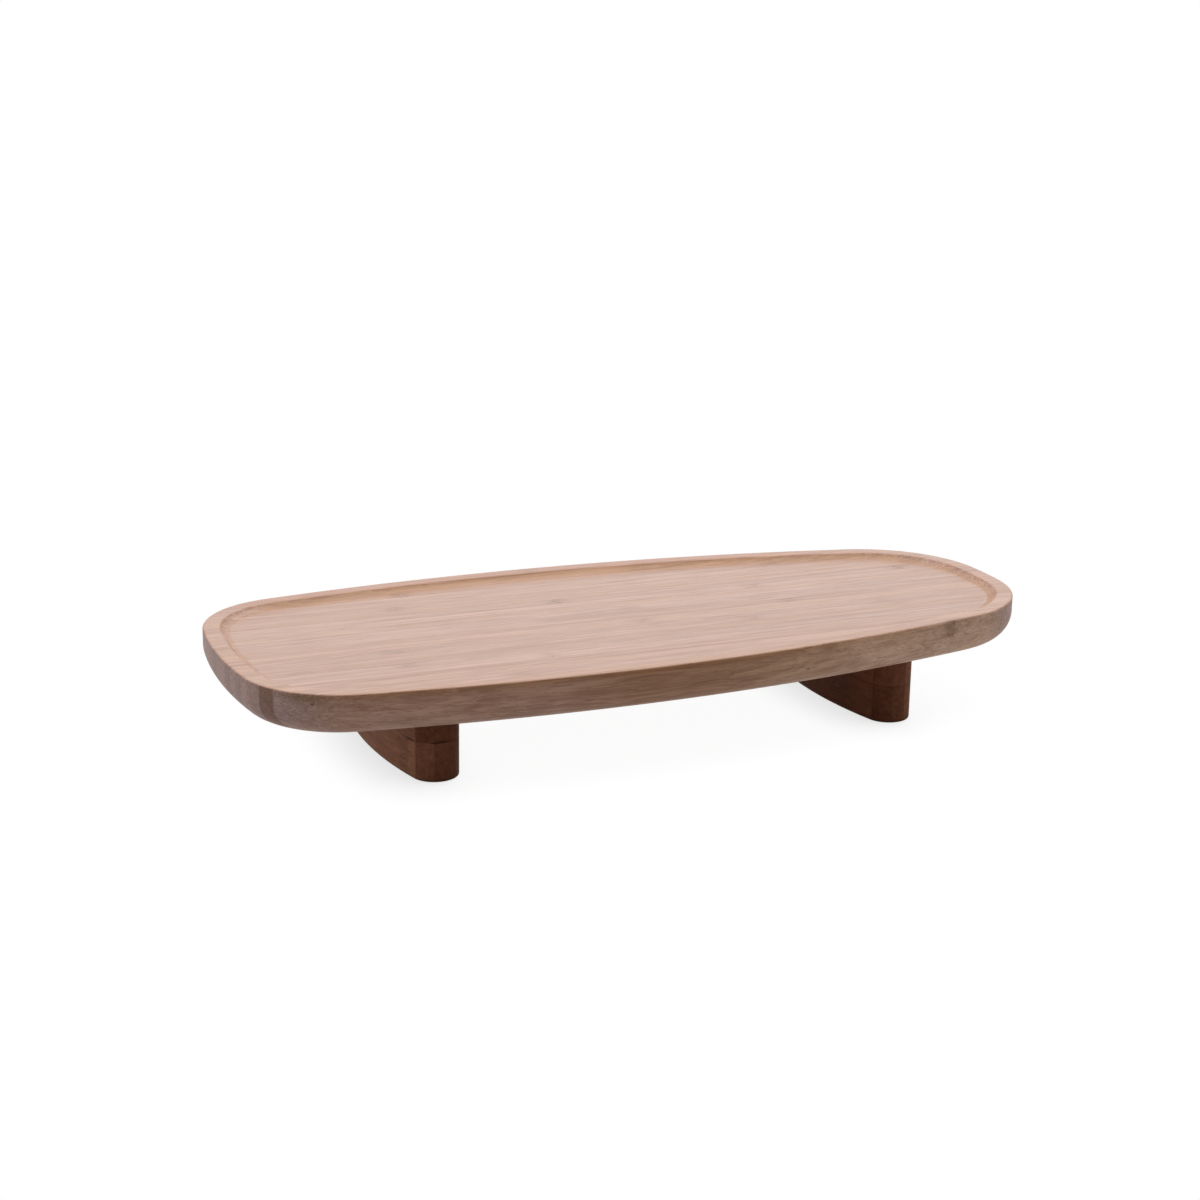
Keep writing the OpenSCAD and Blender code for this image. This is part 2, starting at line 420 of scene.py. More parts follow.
def screwShell(centre):
    # a wood screw, head down: radius by height, less a groove whose depth follows height / pitch - turn
    s = screw
    head, shank = s["headDiameter"] / 2, s["diameter"] / 2
    neck = s["headRim"] + head - shank
    pointStart = s["length"] - s["pointLength"]
    threadStart = pointStart - s["threadLength"]
    height = np.concatenate([[0, 0, s["headRim"] - s["headEase"], s["headRim"]],
                             np.linspace(neck, threadStart, s["shankLevels"]),
                             np.linspace(threadStart, s["length"], s["threadLevels"])[1:]])
    radius = np.interp(height, [0, s["headRim"], neck, pointStart, s["length"]],
                       [head, head, shank, shank, s["tipRadius"]])
    radius[:3] = head - np.array([s["headRing"], s["headEase"], 0])
    angle = np.linspace(0, 2 * math.pi, s["around"], endpoint=False)
    lead = (height[:, None] / s["pitch"] - angle / (2 * math.pi)) % 1
    fall = s["grooveFall"] * np.abs(lead - 0.5) - s["crestFlat"]
    groove = s["threadDepth"] * np.clip(fall, 0, 1)
    inThread = np.clip((height - threadStart) / s["pitch"], 0, 1)[:, None]
    groove = np.minimum(groove * inThread, radius[:, None] * s["grooveLimit"])
    reach = radius[:, None] - groove
    lift = np.broadcast_to(height[:, None] + s["counterbore"], reach.shape)
    return closedShell("screw", np.stack([centre[0] + reach * np.cos(angle),
                                          centre[1] + reach * np.sin(angle), lift], 2))


def crossRecess(centre):
    # cutter for the cross in a screw's head: a plus shape that narrows as it goes in
    s = screw
    corners = []
    for level, share in ((-overrun, 1), (0, 1), (s["recessDepth"], s["recessTaper"])):
        arm, half = share * s["recessSpan"] / 2, s["recessWidth"] / 2
        quarter = np.array([(arm, -half), (arm, half), (half, half)])
        turns = [np.array([[math.cos(t), math.sin(t)], [-math.sin(t), math.cos(t)]])
                 for t in np.arange(4) * math.pi / 2]
        plus = np.vstack([quarter @ turn for turn in turns])
        lift = np.full((len(plus), 1), level + s["counterbore"])
        corners.append(np.hstack([plus + centre, lift]))
    return closedShell("recess", np.stack(corners))


# Screws: four wood screws that come up through the feet into the board
recess = joinMeshes("recess", [crossRecess(at) for at in screwPlaces])
mesh = drill(joinMeshes("screws", [screwShell(at) for at in screwPlaces]), recess)
bpy.data.meshes.remove(recess)
screws = dressPiece(makePiece("footScrews", mesh, screw["sharpAngle"]), "foot_screws")
print("screws made")


def feed(tree, socket, value):
    if isinstance(value, bpy.types.NodeSocket):
        tree.links.new(value, socket)
    elif value is not None:
        socket.default_value = value


def put(tree, kind, *values, **settings):
    # a new node: its options by name, then what its inputs take, in order
    made = tree.nodes.new("ShaderNode" + kind)
    for key, value in settings.items():
        setattr(made, key, value)
    for socket, value in zip(made.inputs, values):
        feed(tree, socket, value)
    return made


def calc(tree, operation, *values, clamp=False):
    return put(tree, "Math", *values, operation=operation, use_clamp=clamp).outputs[0]


def times(tree, a, b):
    return calc(tree, "MULTIPLY", a, b)


def minus(tree, a, b):
    return calc(tree, "SUBTRACT", a, b)


def clamped(tree, value):
    # held between 0 and 1
    return calc(tree, "ADD", value, 0.0, clamp=True)


def weigh(tree, start, *terms):
    # start + socket * share + socket * share ...
    total = start
    for socket, share in terms:
        total = calc(tree, "MULTIPLY_ADD", socket, share, total)
    return total


def ramp(tree, value, low, high, bottom=0.0, top=1.0):
    made = put(tree, "MapRange", value, low, high, bottom, top, interpolation_type="SMOOTHSTEP")
    return made.outputs[0]


def split(tree, vector):
    return put(tree, "SeparateXYZ", vector).outputs[:3]


def join(tree, x, y, z):
    return put(tree, "CombineXYZ", x, y, z).outputs[0]


def vectorCalc(tree, operation, *values):
    return put(tree, "VectorMath", *values, operation=operation).outputs[0]


def lengthOf(tree, vector):
    return put(tree, "VectorMath", vector, operation="LENGTH").outputs["Value"]


def stretch(tree, vector, sizes):
    # coordinates counted in cells of these sizes
    return vectorCalc(tree, "DIVIDE", vector, sizes)


def noise(tree, vector, detail=2.0, rough=0.5):
    made = put(tree, "TexNoise")
    for name, value in (("Vector", vector), ("Scale", 1.0), ("Detail", detail), ("Roughness", rough)):
        feed(tree, made.inputs[name], value)
    return made.outputs[0]


def blendColour(tree, factor, a, b, mode="MIX"):
    made = tree.nodes.new("ShaderNodeMix")
    made.data_type, made.blend_type = "RGBA", mode
    for place, value in ((0, factor), (6, a), (7, b)):
        feed(tree, made.inputs[place], value)
    return made.outputs[2]


def startGroup(name, inputs, outputs):
    # an empty shader node group that takes a place and some numbers: its tree, inputs and outputs
    tree = bpy.data.node_groups.new(name, "ShaderNodeTree")
    tree.interface.new_socket("Place", in_out="INPUT", socket_type="NodeSocketVector")
    for label in inputs:
        tree.interface.new_socket(label, in_out="INPUT", socket_type="NodeSocketFloat")
    for label in outputs:
        tree.interface.new_socket(label, in_out="OUTPUT", socket_type="NodeSocketFloat")
    entry, leave = tree.nodes.new("NodeGroupInput"), tree.nodes.new("NodeGroupOutput")
    return tree, entry.outputs, leave.inputs


def useGroup(tree, group, **values):
    made = tree.nodes.new("ShaderNodeGroup")
    made.node_tree = group
    for label, value in values.items():
        feed(tree, made.inputs[label], value)
    return made.outputs


noiseMiddle = 0.5  # a noise's values lie about this
# Noises in bamboo: size of their cells along a lath and across it in millimetres, detail, roughness
bambooNoises = {
    "Streak": (150, 2.2, 3, 0.6),
    "Fine": (30, 0.7, 2, 0.55),
    "Fibre": (8, 0.24, 1, 0.5),
    "Cloud": (26, 7, 3, 0.6),
    "bend": (55, 12, 2, 0.5),
    "longStreak": (210, 3.4, 1, 0.5),
    "waver": (4, 2.2, 2, 0.5),
    "speckle": (1.8, 0.6, 2, 0.6),
    "glueBreaks": (38, 30, 3, 0.6),
}


def bambooNoise(tree, place, kind):
    along, across, detail, rough = bambooNoises[kind]
    return noise(tree, stretch(tree, place, (along, across, across)), detail, rough)


def shifted(tree, place, by):
    # a lath's own part of the pattern: the place moved sideways
    return vectorCalc(tree, "ADD", place, join(tree, 0.0, by, by))


# Values of the three groups. A pair says where something starts to show and where it is full, and
# more numbers say what it runs between
grainValues = {
    "seedStep": 13.0,  # millimetres between two seeds' patterns
    "streakVein": (0.47, (0.014, 0.003)),  # level of the noise that a vein follows, and how near to it
    "longVein": (0.5, (0.022, 0.004)),
    "veinBreaks": (0.30, 0.62, 0.2),
    "bundleCell": (110, 0.85, 0.85),
    "bundle": (0.42, 0.16),
}


def grainGroup():
    # fibres of a bamboo lath: noises stretched along it, thin veins where one of them crosses a level,
    # and vascular bundles as stretched cells; Wave bends them all sideways, in millimetres
    values = grainValues
    tree, entry, leave = startGroup("bambooGrain", ("Seed", "Wave"),
                                    ("Streak", "Fine", "Fibre", "Cloud", "Vein", "Bundle"))
    bend = minus(tree, bambooNoise(tree, entry["Place"], "bend"), noiseMiddle)
    bend = times(tree, bend, entry["Wave"])
    place = shifted(tree, entry["Place"],
                    calc(tree, "MULTIPLY_ADD", entry["Seed"], values["seedStep"], bend))
    made = {}
    for label in ("Streak", "Fine", "Fibre", "Cloud"):
        made[label] = bambooNoise(tree, place, label)
        feed(tree, leave[label], made[label])
    longStreak = bambooNoise(tree, place, "longStreak")
    veins = []
    for source, key in ((longStreak, "longVein"), (made["Streak"], "streakVein")):
        level, nearness = values[key]
        gap = calc(tree, "ABSOLUTE", minus(tree, source, level))
        veins.append(ramp(tree, gap, *nearness))
    veins = calc(tree, "MAXIMUM", *veins)
    feed(tree, leave["Vein"], times(tree, veins, ramp(tree, longStreak, *values["veinBreaks"])))
    cells = put(tree, "TexVoronoi", stretch(tree, place, values["bundleCell"]))
    feed(tree, cells.inputs["Scale"], 1.0)
    feed(tree, leave["Bundle"], ramp(tree, cells.outputs["Distance"], *values["bundle"]))
    return tree


knuckleValues = {
    "seedStep": 7.0,
    "waver": 6.0,  # how far it wavers along the lath, in millimetres
    "smudge": (0.34, 0.62, 0.15),
    "pinholes": (0.70, 0.76),
    "slant": 2.2,  # of the line: millimetres along for one across, at most
    "slantTurn": 2.4,  # how much the slant changes from seed to seed
    "line": (1.2, 0.1),
    "lineBreaks": (0.2, 0.5),
}


def knuckleGroup():
    # a node of the bamboo stem: a speckled smudge round a place along the lath, with a few pinholes,
    # and a wavering thin line that slants from side to side; Across counts from the lath's middle
    values = knuckleValues
    tree, entry, leave = startGroup("bambooKnuckle", ("Across", "Along", "Seed", "Reach"),
                                    ("Smudge", "Line", "Pinhole"))
    place = shifted(tree, entry["Place"], times(tree, entry["Seed"], values["seedStep"]))
    offset = minus(tree, split(tree, place)[0], entry["Along"])
    offset = weigh(tree, offset, (bambooNoise(tree, place, "waver"), values["waver"]))
    offset = minus(tree, offset, values["waver"] / 2)
    far = calc(tree, "DIVIDE", offset, entry["Reach"])
    hump = calc(tree, "EXPONENT", times(tree, times(tree, far, far), -1.0))
    speckle = bambooNoise(tree, place, "speckle")
    feed(tree, leave["Smudge"], times(tree, hump, ramp(tree, speckle, *values["smudge"])))
    feed(tree, leave["Pinhole"], times(tree, hump, ramp(tree, speckle, *values["pinholes"])))
    slant = calc(tree, "SINE", times(tree, entry["Seed"], values["slantTurn"]))
    slant = times(tree, slant, values["slant"])
    near = calc(tree, "ABSOLUTE", calc(tree, "MULTIPLY_ADD", entry["Across"], slant, offset))
    lineBreaks = ramp(tree, speckle, *values["lineBreaks"])
    feed(tree, leave["Line"], times(tree, ramp(tree, near, *values["line"]), lineBreaks))
    return tree


glueValues = {
    "edge": (1.0, 0.1),  # shares of its reach
    "breaks": (0.25, 0.6, 0.15),
}


def jointGroup():
    # glue lines: dark within a reach of a lath's first and last edge, broken up along the lath
    tree, entry, leave = startGroup("glueLine", ("Across", "Width", "Reach", "Front", "Back"),
                                    ("Line",))
    sides = []
    fromBack = minus(tree, entry["Width"], entry["Across"])
    for label, gap in (("Front", entry["Across"]), ("Back", fromBack)):
        share = calc(tree, "DIVIDE", gap, entry["Reach"])
        sides.append(times(tree, ramp(tree, share, *glueValues["edge"]), entry[label]))
    breaks = ramp(tree, bambooNoise(tree, entry["Place"], "glueBreaks"), *glueValues["breaks"])
    feed(tree, leave["Line"], times(tree, calc(tree, "MAXIMUM", *sides), breaks))
    return tree


def newMaterial(name):
    mat = bpy.data.materials.new(name)
    mat.use_nodes = True
    return mat, mat.node_tree, mat.node_tree.nodes["Principled BSDF"]


def surfacePlace(tree):
    # place on the piece in millimetres, and the way that its surface faces
    spot = put(tree, "TexCoord").outputs
    return vectorCalc(tree, "MULTIPLY", spot["Object"], (1 / mm,) * 3), spot["Normal"]


def readLath(tree):
    # what a lath's mesh tells: its first edge, seed and tone; where its knuckles are and how strong;
    # how dark its two glue lines are; how dark and grey its end grain is, and how yellow it is
    # a foot's strip tells in place of its end grain how pale it is, partly painted light
    told = {}
    for name in ("lath", "knuckleAt", "knuckleStrength", "glue", "endTone"):
        told[name] = split(tree, put(tree, "Attribute", attribute_name=name).outputs["Vector"])
    return told


def grainTerms(grains, shares):
    # the grain's patterns, each with its share, for weigh
    return [(grains[label], share) for label, share in shares.items()]


def mixedGrain(tree, grains, shares):
    # the grain's patterns in these shares, brought to lie about zero
    return weigh(tree, -noiseMiddle * sum(shares.values()), *grainTerms(grains, shares))


def humpAt(tree, x, z, atX, atZ, reachX, reachZ):
    # a soft oval spot on an upright face: exp of minus the squared distance, counted in its reaches
    farX = calc(tree, "DIVIDE", minus(tree, x, atX), reachX)
    farZ = calc(tree, "DIVIDE", minus(tree, z, atZ), reachZ)
    total = calc(tree, "MULTIPLY_ADD", farX, farX, times(tree, farZ, farZ))
    return calc(tree, "EXPONENT", times(tree, total, -1.0))


def tinted(tree, factor, colour, tint):
    return blendColour(tree, factor, colour, tint, "MULTIPLY")


def finishSurface(tree, shader, colour, roughness, height, bump):
    feed(tree, shader.inputs["Base Color"], colour)
    feed(tree, shader.inputs["Roughness"], roughness)
    made = tree.nodes.new("ShaderNodeBump")
    feed(tree, made.inputs["Strength"], bump["strength"])
    feed(tree, made.inputs["Distance"], bump["depth"] * mm)
    feed(tree, made.inputs["Height"], height)
    tree.links.new(made.outputs[0], shader.inputs["Normal"])


grain, knuckle, glueLine = grainGroup(), knuckleGroup(), jointGroup()

# Natural bamboo of the board, in linear colours and millimetres, with pairs as above. Heights lie
# along Z and spans along X, but farRimSpan and frontSpan along Y
natural = {
    "pale": (0.718, 0.467, 0.370, 1),
    "deep": (0.440, 0.248, 0.176, 1),
    "bundle": (0.290, 0.145, 0.090, 1),
    "vein": (0.330, 0.165, 0.105, 1),
    "knuckle": (0.270, 0.130, 0.075, 1),
    "pinhole": (0.050, 0.020, 0.008, 1),
    "glue": (0.270, 0.135, 0.085, 1),
    "stain": (0.190, 0.095, 0.038, 1),
    # tints, which multiply the colour
    "yellow": (1.020, 1.000, 0.940, 1),  # of the yellowest laths
    "endGrain": (0.815, 0.805, 0.885, 1),  # where the fibres are cut across
    "endDark": (0.480, 0.400, 0.340, 1),  # of a dark lath's end grain
    "endGrey": (0.830, 0.890, 1.000, 1),  # of a grey lath's end grain
    "narrowEnd": (0.06, 0.16),  # share of both at the narrow end, and how much it varies
    "broadEndSpan": (0.0, -1.0),
    "sideBroad": (0.800, 0.745, 0.720, 1),  # of the outer laths' flat faces, from the broad end on: partly their browner colour, partly painted shade, deepest round the middle
    "sideMiddle": (0.680, 0.575, 0.455, 1),
    "middleSpan": (-75.0, -25.0),
    # painted light from the right lamp on the flat sides towards the narrow end
    "sideNarrowLit": (1.220, 1.260, 1.190, 1),
    "narrowSpan": (-10.0, 130.0),
    "sideLowSheen": (1.130, 1.130, 1.120, 1),  # painted floor reflection, lighter near their lower edge and darker near the top
    "sideHigh": (0.900, 0.860, 0.800, 1),
    "sideHeights": (37.0, 50.0),
    "rim": (1.000, 0.965, 0.930, 1),
    "rimHeights": (50.7, 50.95),
    "farRim": (0.960, 0.860, 0.810, 1),
    "farRimSpan": (50.0, 75.0),
    "cove": (0.860, 0.775, 0.605, 1),  # partly the colour of the fibres cut at a slant in the cove, partly painted shade where it lacks the top's sheen
    "shadedCoveFacing": (0.25, 0.03),
    # which way a face looks, by its normal: cut across the fibres, a side, the underside, the front
    "cutFacing": (0.10, 0.80),
    "sideFacing": (0.80, 0.35),
    "underFacing": (-1.0, -0.9, 0.4, 1.0),
    "frontFacing": (-0.35, -0.6),
    "frontSpan": (-20.0, -40.0),
    # the cove is what slants near the top, and its hollow is all of that but the steepest part
    "slantFacing": (0.9998, 0.990),
    "slantHeights": (48.0, 48.7),
    "slantTop": (50.9, 50.6),
    "hollow": (0.9, 0.1),
    "hollowCut": 0.8,  # how much less cut the fibres look there
    "coveSpeckles": (0.48, 0.62),
    "speckleShare": 0.6,
    # fibres: share of deep colour on average, shares of the grain's patterns, contrast
    "deepShare": 0.36,
    "fibres": {"Streak": 1.5, "Fine": 1.0, "Fibre": 0.6, "Cloud": 0.4},
    "contrast": 0.9,
    "topContrast": 1.25,
    "sideContrast": 0.35,  # added on the sides
    "toneShare": 0.14,
    "wave": 0.7,
    "sideWave": 5.0,  # added on the sides
    "blotches": 1.3,  # on the flat sides
    "streakMiddle": 15.0,  # the sides are streakiest round here
    "streakSpan": (85.0, 40.0, 0.4, 2.2),
    "veins": 0.42,
    "sideVeins": 0.3,
    "dots": {"everywhere": 0.08, "across": 0.60, "side": 0.14},
    "knuckleReach": 6.0,
    "knuckleHeights": (38.0, 48.0, 0.35, 1.0),
    "smudgeShare": 0.60,
    "lineShare": 0.30,
    "glueReach": 0.45,
    "glueShare": 0.55,
    "topRoughness": 0.23,
    "sideRoughness": 0.50,
    "lowerRoughness": 0.58,  # underside and lower rounding, sanded less finely
    "lowerFacing": (-0.05, -0.35),
    "roughnessVaries": 0.10,
    "cutRoughness": 0.05,  # added where the fibres are cut across
    "hollowRoughness": 0.25,  # added in the cove's hollow
    "ior": 1.46,
    "relief": {"Fine": 0.6, "Fibre": 0.5, "Bundle": -0.5},
    "bump": {"strength": 0.35, "depth": 0.06},
    # speckled brown stains and dark flecks on the front side: X, Z, half length, half height, strength
    "stains": ((-178.0, 49.2, 9.0, 2.6, 1.0), (137.5, 47.5, 3.4, 4.0, 0.8),
               (68.0, 49.0, 5.5, 3.0, 0.45)),
    "stainSpeckles": (0.25, 0.65, 0.3),
    "flecks": ((-175.7, 46.4, 0.7, 0.6, 0.9), (137.0, 44.1, 0.6, 0.5, 0.9),
               (139.5, 43.9, 0.6, 0.5, 0.9), (55.6, 39.9, 1.0, 0.6, 0.8),
               (58.8, 40.2, 1.8, 0.45, 0.5), (140.0, 50.0, 0.8, 1.2, 0.5)),
}


def boardPlaces(tree):
    # where a point of the board lies, and masks from 0 to 1 that say how its surface runs there
    place, normal = surfacePlace(tree)
    x, y, z = split(tree, place)
    normalX, normalY, normalZ = split(tree, normal)
    cut = ramp(tree, calc(tree, "ABSOLUTE", normalX), *natural["cutFacing"])  # across the fibres
    side = times(tree, ramp(tree, normalZ, *natural["sideFacing"]),
                 ramp(tree, normalZ, *natural["underFacing"]))
    slant = times(tree, ramp(tree, calc(tree, "ABSOLUTE", normalZ), *natural["slantFacing"]),
                  ramp(tree, z, *natural["slantHeights"]))
    hollow = times(tree, slant, ramp(tree, side, *natural["hollow"]))
    return {
        "place": place, "x": x, "y": y, "z": z, "normalX": normalX, "normalZ": normalZ,
        "cut": cut, "side": side, "slant": slant, "hollow": hollow,
        "flat": times(tree, side, minus(tree, 1.0, cut)),
        "across": times(tree, cut, weigh(tree, 1.0, (hollow, -natural["hollowCut"]))),
        "front": times(tree, ramp(tree, normalY, *natural["frontFacing"]),
                       ramp(tree, y, *natural["frontSpan"])),
    }


def boardFibres(tree, at, grains, told):
    # from pale to deep, stronger on the sides than on the top, with veins and bundles over it
    body = mixedGrain(tree, grains, natural["fibres"])
    body = times(tree, body, weigh(tree, natural["topContrast"], (at["side"], natural["sideContrast"])))
    blotches = times(tree, minus(tree, grains["Cloud"], noiseMiddle), at["flat"])
    fromMiddle = calc(tree, "ABSOLUTE", minus(tree, at["x"], natural["streakMiddle"]))
    streaks = times(tree, minus(tree, grains["Streak"], noiseMiddle), at["flat"])
    streaks = times(tree, streaks, ramp(tree, fromMiddle, *natural["streakSpan"]))
    body = weigh(tree, body, (blotches, natural["blotches"]), (streaks, 1.0))
    body = weigh(tree, natural["deepShare"], (body, natural["contrast"]),
                 (told["lath"][2], natural["toneShare"]))
    colour = blendColour(tree, clamped(tree, body), natural["pale"], natural["deep"])
    veins = weigh(tree, natural["veins"], (at["flat"], natural["sideVeins"]))
    colour = blendColour(tree, times(tree, grains["Vein"], veins), colour, natural["vein"])
    dots = natural["dots"]
    dots = weigh(tree, dots["everywhere"], (at["across"], dots["across"]), (at["side"], dots["side"]))
    colour = blendColour(tree, times(tree, grains["Bundle"], dots), colour, natural["bundle"])
    return tinted(tree, told["endTone"][2], colour, natural["yellow"])


def boardTints(tree, at, grains, told, colour):
    # where the board is cut: end grain, flat sides, rim and cove, with painted shade and light on the
    # flat sides and painted shade in the cove
    x, z = at["x"], at["z"]
    colour = tinted(tree, at["across"], colour, natural["endGrain"])
    ends = times(tree, at["cut"], at["side"])
    broad = ramp(tree, x, *natural["broadEndSpan"])
    base, varies = natural["narrowEnd"]
    narrowShare = weigh(tree, base, (told["endTone"][2], varies))
    for broadShare, tint in zip(told["endTone"], (natural["endDark"], natural["endGrey"])):
        share = ramp(tree, broad, 0.0, 1.0, narrowShare, broadShare)
        colour = tinted(tree, times(tree, ends, share), colour, tint)
    # painted shade on the flat sides, over their browner colour, and painted light from the right
    # towards the narrow end
    sideBrownAndLighting = blendColour(tree, ramp(tree, x, *natural["middleSpan"]), natural["sideBroad"],
                           natural["sideMiddle"])
    sideBrownAndLighting = blendColour(tree, ramp(tree, x, *natural["narrowSpan"]), sideBrownAndLighting, natural["sideNarrowLit"])
    # painted floor reflection: lighter near the lower edge, darker near the top
    floorSheenTint = blendColour(tree, ramp(tree, z, *natural["sideHeights"]), natural["sideLowSheen"],
                             natural["sideHigh"])
    colour = tinted(tree, at["flat"], colour, tinted(tree, 1.0, sideBrownAndLighting, floorSheenTint))
    rim = ramp(tree, z, *natural["rimHeights"])
    colour = tinted(tree, rim, colour, natural["rim"])
    farRim = times(tree, rim, ramp(tree, at["y"], *natural["farRimSpan"]))
    colour = tinted(tree, farRim, colour, natural["farRim"])
    slant = times(tree, at["slant"], ramp(tree, z, *natural["slantTop"]))
    speckles = times(tree, times(tree, slant, at["cut"]),
                     ramp(tree, grains["Fine"], *natural["coveSpeckles"]))
    speckles = times(tree, speckles, natural["speckleShare"])
    colour = blendColour(tree, speckles, colour, natural["bundle"])
    # painted shade in the cove, over its slant-cut colour, kept off where the cove faces the broad end
    cove = times(tree, slant, weigh(tree, 1.0, (at["cut"], -1.0)))
    cove = times(tree, cove, ramp(tree, at["normalX"], *natural["shadedCoveFacing"]))
    return tinted(tree, cove, colour, natural["cove"])


def boardMarks(tree, at, grains, told, inLath, colour):
    # knuckles, which show more near the top of a flat side, then stains and flecks
    x, z = at["x"], at["z"]
    across = minus(tree, inLath, staveWidth / 2)
    smudges, lines, pinholes = 0.0, 0.0, 0.0
    for along, strength in zip(told["knuckleAt"][:2], told["knuckleStrength"][:2]):
        made = useGroup(tree, knuckle, Place=at["place"], Across=across, Along=along,
                        Seed=told["lath"][1], Reach=natural["knuckleReach"])
        smudges = calc(tree, "MULTIPLY_ADD", made["Smudge"], strength, smudges)
        lines = calc(tree, "MULTIPLY_ADD", made["Line"], strength, lines)
        pinholes = calc(tree, "MULTIPLY_ADD", made["Pinhole"], strength, pinholes)
    mark = weigh(tree, 0.0, (smudges, natural["smudgeShare"]), (lines, natural["lineShare"]))
    mark = times(tree, mark, ramp(tree, z, *natural["knuckleHeights"]))
    colour = blendColour(tree, clamped(tree, mark), colour, natural["knuckle"])
    speckled = times(tree, at["front"], ramp(tree, grains["Fine"], *natural["stainSpeckles"]))
    stains = 0.0
    for *oval, share in natural["stains"]:
        stain = times(tree, humpAt(tree, x, z, *oval), speckled)
        stains = calc(tree, "MULTIPLY_ADD", stain, share, stains)
    colour = blendColour(tree, clamped(tree, stains), colour, natural["stain"])
    darkest = times(tree, pinholes, at["side"])
    for *oval, share in natural["flecks"]:
        darkest = weigh(tree, darkest, (times(tree, humpAt(tree, x, z, *oval), at["front"]), share))
    return blendColour(tree, clamped(tree, darkest), colour, natural["pinhole"])


def naturalBamboo():
    mat, tree, shader = newMaterial("naturalBamboo")
    at, told = boardPlaces(tree), readLath(tree)
    front, seed = told["lath"][:2]
    side = at["side"]
    grains = useGroup(tree, grain, Place=at["place"], Seed=seed,
                      Wave=weigh(tree, natural["wave"], (side, natural["sideWave"])))
    inLath = minus(tree, at["y"], front)
    colour = boardFibres(tree, at, grains, told)
    colour = boardTints(tree, at, grains, told, colour)
    colour = boardMarks(tree, at, grains, told, inLath, colour)
    glue = useGroup(tree, glueLine, Place=at["place"], Across=inLath, Width=staveWidth,
                    Reach=natural["glueReach"], Front=told["glue"][0], Back=told["glue"][1])["Line"]
    colour = blendColour(tree, times(tree, glue, natural["glueShare"]), colour, natural["glue"])
    roughness = weigh(tree, natural["topRoughness"] - natural["roughnessVaries"] / 2,
                      (grains["Fine"], natural["roughnessVaries"]),
                      (side, natural["sideRoughness"] - natural["topRoughness"]),
                      (at["cut"], natural["cutRoughness"]), (at["hollow"], natural["hollowRoughness"]))
    roughness = ramp(tree, at["normalZ"], *natural["lowerFacing"], roughness, natural["lowerRoughness"])
    height = weigh(tree, 0.0, *grainTerms(grains, natural["relief"]))
    finishSurface(tree, shader, colour, roughness, height, natural["bump"])
    feed(tree, shader.inputs["IOR"], natural["ior"])
    return mat


# Dark bamboo of the feet, written in the same way
dark = {
    "warm": (0.310, 0.115, 0.060, 1),
    "deep": (0.110, 0.036, 0.018, 1),
    "bundle": (0.070, 0.024, 0.014, 1),
    "knuckle": (0.090, 0.032, 0.018, 1),
    "glue": (0.050, 0.018, 0.011, 1),
    "wornAndLit": (2.200, 2.850, 3.200, 1),  # tint of the palest strips: partly less stain taken, partly painted light where the side lamps fall
    "bottom": (0.450, 0.420, 0.400, 1),  # painted contact shade round the bottom edge
    "shadedBottomHeights": (1.6, 0.2),
    "shadedBottomFacing": (-0.95, -0.6),
    "cutFacing": (0.25, 0.9),
    "deepShare": 0.42,
    "fibres": {"Streak": 1.2, "Fine": 0.7, "Fibre": 0.5, "Cloud": 0.8},
    "contrast": 0.8,
    "toneShare": 0.26,
    "wave": 1.5,
    "dots": 0.12,
    "cutDots": 0.25,  # added where the fibres are cut across
    # ring figure on the narrow foot's inner face
    "ringMiddle": (-28.0, 10.5),  # Y, Z
    "ringSpacing": 1.5,
    "ringReach": (9.5, 3.25),
    "ringStretch": 2.0,  # how much longer than high it is
    "ringWaver": {"Cloud": 5.0, "Fine": 1.0},
    "ringShare": 0.75,
    "ringSpan": (60.0, 62.0),  # X
    "ringFacing": (-0.4, -0.8),
    "knuckleReach": 4.0,
    "smudgeShare": 0.5,
    "lineShare": 0.2,
    "glueReach": 0.35,
    "glueShare": 0.35,
    "seamReach": (0.3, 0.06),  # of the thin dark line between the two layers
    "seamShare": 0.2,
    # small dark gaps in that line, at the front: X, Z, half length and half height
    "gaps": ((-125.9, 17.9, 1.0, 0.5), (-118.0, 18.4, 1.2, 0.3), (-114.6, 18.9, 2.6, 0.5)),
    "gapSpan": (-35.0, -42.0),  # Y
    "roughness": 0.55,
    "roughnessVaries": 0.16,
    "cutRoughness": 0.08,
    "ior": 1.14,
    "relief": {"Fine": 0.5, "Fibre": 0.5, "Bundle": -0.4},
    "bump": {"strength": 0.4, "depth": 0.08},
}


def ringFigure(tree, x, y, z, normalX, grains):
    # rings round a place on an upright face: the sine of a wavering distance, faded out at its reach
    middleY, middleZ = dark["ringMiddle"]
    offY = calc(tree, "DIVIDE", minus(tree, y, middleY), dark["ringStretch"])
    distance = lengthOf(tree, join(tree, offY, minus(tree, z, middleZ), 0.0))
    distance = weigh(tree, distance, *grainTerms(grains, dark["ringWaver"]))
    turns = times(tree, distance, 2 * math.pi / dark["ringSpacing"])
    rings = times(tree, ramp(tree, calc(tree, "SINE", turns), 0.0, 1.0),
                  ramp(tree, distance, *dark["ringReach"]))
    inner = times(tree, ramp(tree, x, *dark["ringSpan"]), ramp(tree, normalX, *dark["ringFacing"]))
    return times(tree, rings, times(tree, inner, dark["ringShare"]))


